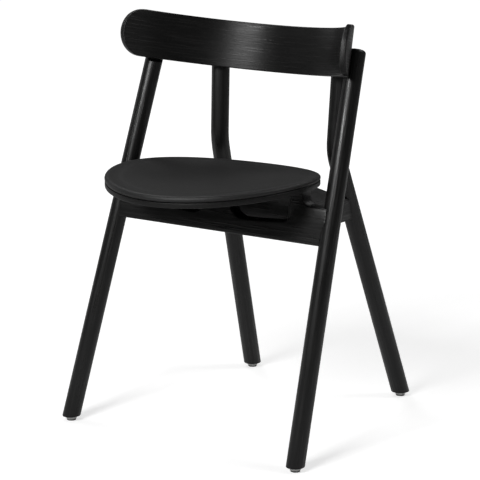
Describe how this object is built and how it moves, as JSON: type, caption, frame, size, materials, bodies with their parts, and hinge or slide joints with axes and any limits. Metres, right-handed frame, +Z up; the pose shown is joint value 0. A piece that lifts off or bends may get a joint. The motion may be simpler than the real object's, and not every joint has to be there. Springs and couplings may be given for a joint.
{
  "type": "side chair",
  "caption": "Wooden side chair with round leaning legs, a bent backrest board let into the legs and a round leather-padded seat.",
  "frame": {"origin": "on the floor, under the middle of the chair's overall width and depth", "axes": "+Z up, the chair faces -Y, +X is on the right seen from the front"},
  "size_m": [0.5286, 0.585, 0.7436],
  "materials": {
    "stained_oak": "black-stained open-pore oak, satin",
    "stained_plywood": "black-stained plywood, satin",
    "leather": "black smooth leather, matte",
    "foam": "seat foam",
    "beech": "bare beech",
    "screw_steel": "zinc-plated steel",
    "nylon": "light grey nylon",
    "felt": "dark grey felt"
  },
  "bodies": {
    "root": {"back_screw_front_left": "screw_steel", "back_screw_front_right": "screw_steel", "back_screw_rear_left_1": "screw_steel", "back_screw_rear_left_2": "screw_steel", "back_screw_rear_right_1": "screw_steel", "back_screw_rear_right_2": "screw_steel", "backrest_board": "stained_oak", "dowel_corner_left_1": "beech", "dowel_corner_left_2": "beech", "dowel_corner_right_1": "beech", "dowel_corner_right_2": "beech", "dowel_front_leg_left_1": "beech", "dowel_front_leg_left_2": "beech", "dowel_front_leg_right_1": "beech", "dowel_front_leg_right_2": "beech", "dowel_rear_leg_left_1": "beech", "dowel_rear_leg_left_2": "beech", "dowel_rear_leg_right_1": "beech", "dowel_rear_leg_right_2": "beech", "front_leg_left": "stained_oak", "front_leg_right": "stained_oak", "front_rail": "stained_oak", "glide_body_front_left": "nylon", "glide_body_front_right": "nylon", "glide_body_rear_left": "nylon", "glide_body_rear_right": "nylon", "glide_felt_front_left": "felt", "glide_felt_front_right": "felt", "glide_felt_rear_left": "felt", "glide_felt_rear_right": "felt", "glide_nail_front_left": "screw_steel", "glide_nail_front_right": "screw_steel", "glide_nail_rear_left": "screw_steel", "glide_nail_rear_right": "screw_steel", "pad_board": "stained_plywood", "pad_cover": "leather", "pad_foam": "foam", "pad_screw_1": "screw_steel", "pad_screw_2": "screw_steel", "pad_screw_3": "screw_steel", "plug_front_left": "stained_oak", "plug_front_right": "stained_oak", "plug_rear_left_1": "stained_oak", "plug_rear_left_2": "stained_oak", "plug_rear_right_1": "stained_oak", "plug_rear_right_2": "stained_oak", "rear_leg_left": "stained_oak", "rear_leg_right": "stained_oak", "rear_rail": "stained_oak", "seat_plate": "stained_plywood", "seat_screw_front": "screw_steel", "seat_screw_left": "screw_steel", "seat_screw_rear": "screw_steel", "seat_screw_right": "screw_steel", "side_rail_left": "stained_oak", "side_rail_right": "stained_oak"}
  },
  "joints": []
}
